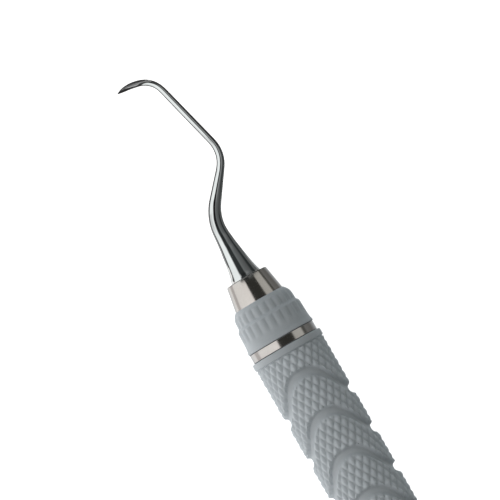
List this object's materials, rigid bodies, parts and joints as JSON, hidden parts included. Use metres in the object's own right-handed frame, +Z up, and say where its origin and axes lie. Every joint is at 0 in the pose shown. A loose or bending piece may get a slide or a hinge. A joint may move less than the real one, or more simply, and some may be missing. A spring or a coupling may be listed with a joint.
{
  "type": "dental hand scaler",
  "caption": "Double-ended dental hand scaler: curved pointed blades on contra-angle steel shanks, steel cones, fluted resin collars, and a knurled resin grip with wave grooves.",
  "frame": {"origin": "under the centre of the handle, on the plane that the grip's lip rings rest on", "axes": "+X along the handle towards the front tip, +Z up, and +Y to the side that the front blade's point faces"},
  "size_m": [0.175, 0.0106, 0.0097],
  "materials": {
    "tip_steel": "mirror polished, with fine grinding lines on the blade",
    "cone_steel": "polished, with faint turning lines",
    "band_steel": "polished",
    "tube_steel": "drawn, unpolished",
    "collar_resin": "moulded, satin",
    "grip_resin": "moulded diamond knurl, satin",
    "seal_rubber": "matte"
  },
  "bodies": {
    "root": {"front_tip": "tip_steel", "rear_tip": "tip_steel", "front_cone": "cone_steel", "rear_cone": "cone_steel", "front_band": "band_steel", "rear_band": "band_steel", "front_collar": "collar_resin", "rear_collar": "collar_resin", "front_seal": "seal_rubber", "rear_seal": "seal_rubber", "core_tube": "tube_steel", "grip_sleeve": "grip_resin"}
  },
  "joints": []
}
